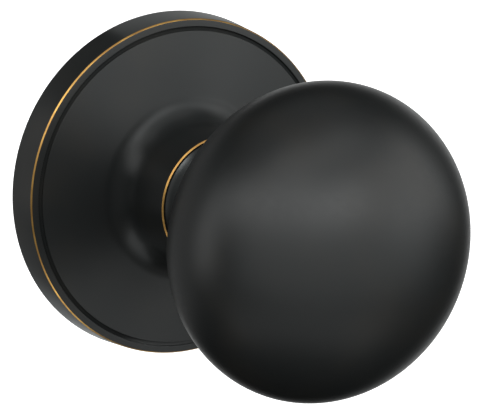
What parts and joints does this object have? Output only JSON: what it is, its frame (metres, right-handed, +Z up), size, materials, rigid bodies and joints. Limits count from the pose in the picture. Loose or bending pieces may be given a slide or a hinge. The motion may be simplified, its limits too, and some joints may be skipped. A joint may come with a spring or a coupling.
{
  "type": "door knob",
  "caption": "Oblate ball door knob on a slim neck, turning in a round rose with a spring-return cassette, square spindle and threaded fixing posts behind it.",
  "frame": {"origin": "centre of the rose's back on the spindle's axis, in the plane of the door's face", "axes": "-Y out of the door towards the hand, +Y into the door along the spindle, +Z up, +X to the right for someone facing the knob"},
  "size_m": [0.0666, 0.1286, 0.0666],
  "materials": {
    "aged_bronze": "satin, nearly black bronze",
    "aged_bronze_neck": "satin, nearly black bronze",
    "aged_bronze_rose": "satin, nearly black bronze, rubbed to bright metal on its corners",
    "zinc_casting": "die-cast, matt grey",
    "plated_steel": "drawn bar, bright zinc plate",
    "plated_sheet": "pressed sheet, pale yellow zinc plate",
    "spring_steel": "dark spring temper",
    "screw_steel": "bright zinc plate",
    "brass_washer": "plain sheet brass",
    "nylon": "natural nylon"
  },
  "bodies": {
    "rose": {"rose": "aged_bronze_rose", "rose_snap_ring": "spring_steel", "mounting_plate": "zinc_casting", "neck_bush": "nylon", "screw_post_left": "zinc_casting", "screw_post_right": "zinc_casting", "post_screws": "screw_steel", "spring_cage": "plated_sheet", "cage_bush": "nylon", "cage_screws": "screw_steel", "anchor_pin": "screw_steel", "return_spring": "spring_steel"},
    "knob": {"knob_shell": "aged_bronze", "knob_neck": "aged_bronze_neck", "knob_core": "zinc_casting", "spindle": "plated_steel", "spindle_pin": "spring_steel", "retaining_ring": "spring_steel", "spring_washer": "spring_steel", "thrust_washer": "brass_washer", "spring_driver": "zinc_casting", "arbor_clip": "spring_steel"}
  },
  "joints": [
    {"name": "knob_turn", "type": "hinge", "parent": "rose", "child": "knob", "pos_m": [0, 0, 0], "axis": [0, -1, 0], "range_deg": [-60, 60], "stiffness_Nm_per_rad": 0.23, "deforming": ["return_spring"]}
  ]
}
